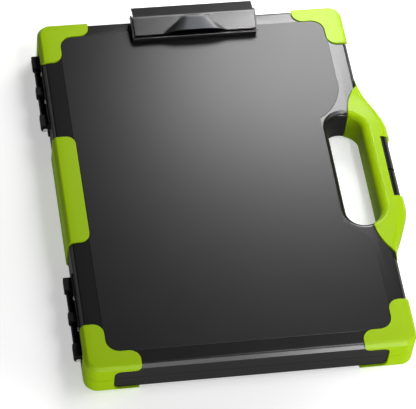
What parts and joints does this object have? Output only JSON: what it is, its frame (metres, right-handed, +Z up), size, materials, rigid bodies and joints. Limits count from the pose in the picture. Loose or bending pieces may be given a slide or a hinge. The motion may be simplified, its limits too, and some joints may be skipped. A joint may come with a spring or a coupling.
{
  "type": "storage clipboard box",
  "caption": "Flat hinged storage box with a clipboard cover: two dark shells with lime corner and spine bumpers, a carrying handle with latches and a sprung paper clip.",
  "frame": {"origin": "on the surface that the closed box lies on, under the middle of its outer box", "axes": "+Z up out of the cover, +Y from the front to the clip at the rear, +X from the hinges to the handle"},
  "size_m": [0.3254, 0.4, 0.0527],
  "materials": {
    "shell": "charcoal moulded plastic, fine matt texture on the panel, satin border",
    "bumper": "lime green satin plastic",
    "grip": "lime green satin plastic",
    "hinge": "black moulded plastic",
    "latch": "black moulded plastic",
    "clip": "gunmetal satin plating on sheet steel",
    "steel": "bright drawn steel"
  },
  "bodies": {
    "base": {"base_shell": "shell", "base_bumper_front_left": "bumper", "base_bumper_front_right": "bumper", "base_bumper_rear_left": "bumper", "base_bumper_rear_right": "bumper", "base_spine_bumper": "bumper", "base_handle_grip": "grip", "hinge_leaf_base_front": "hinge", "hinge_leaf_base_rear": "hinge", "hinge_pin_front": "steel", "hinge_pin_rear": "steel", "hinge_screws_base": "steel", "latch_pin": "steel"},
    "cover": {"cover_shell": "shell", "cover_bumper_front_left": "bumper", "cover_bumper_front_right": "bumper", "cover_bumper_rear_left": "bumper", "cover_bumper_rear_right": "bumper", "cover_spine_bumper": "bumper", "cover_handle_grip": "grip", "hinge_leaf_cover_front": "hinge", "hinge_leaf_cover_rear": "hinge", "hinge_screws_cover": "steel", "clip_base_plate": "clip", "clip_rivets": "steel", "clip_rod": "steel", "clip_spring": "steel"},
    "jaw": {"clip_jaw": "clip"},
    "front_latch": {"latch_front": "latch"},
    "rear_latch": {"latch_rear": "latch"}
  },
  "joints": [
    {"name": "cover_hinge", "type": "hinge", "parent": "base", "child": "cover", "pos_m": [-0.15845, -0.0025, 0.0198], "axis": [0, -1, 0], "range_deg": [0, 180]},
    {"name": "clip_hinge", "type": "hinge", "parent": "cover", "child": "jaw", "pos_m": [-0.00405, 0.188, 0.0474], "axis": [-1, 0, 0], "range_deg": [0, 35], "stiffness_Nm_per_rad": 0.5, "springref_deg": -42.97},
    {"name": "front_latch_hinge", "type": "hinge", "parent": "base", "child": "front_latch", "pos_m": [0.15665, -0.02235, 0.0083], "axis": [0, 1, 0], "range_deg": [0, 90]},
    {"name": "rear_latch_hinge", "type": "hinge", "parent": "base", "child": "rear_latch", "pos_m": [0.15665, 0.01335, 0.0083], "axis": [0, 1, 0], "range_deg": [0, 90]}
  ]
}
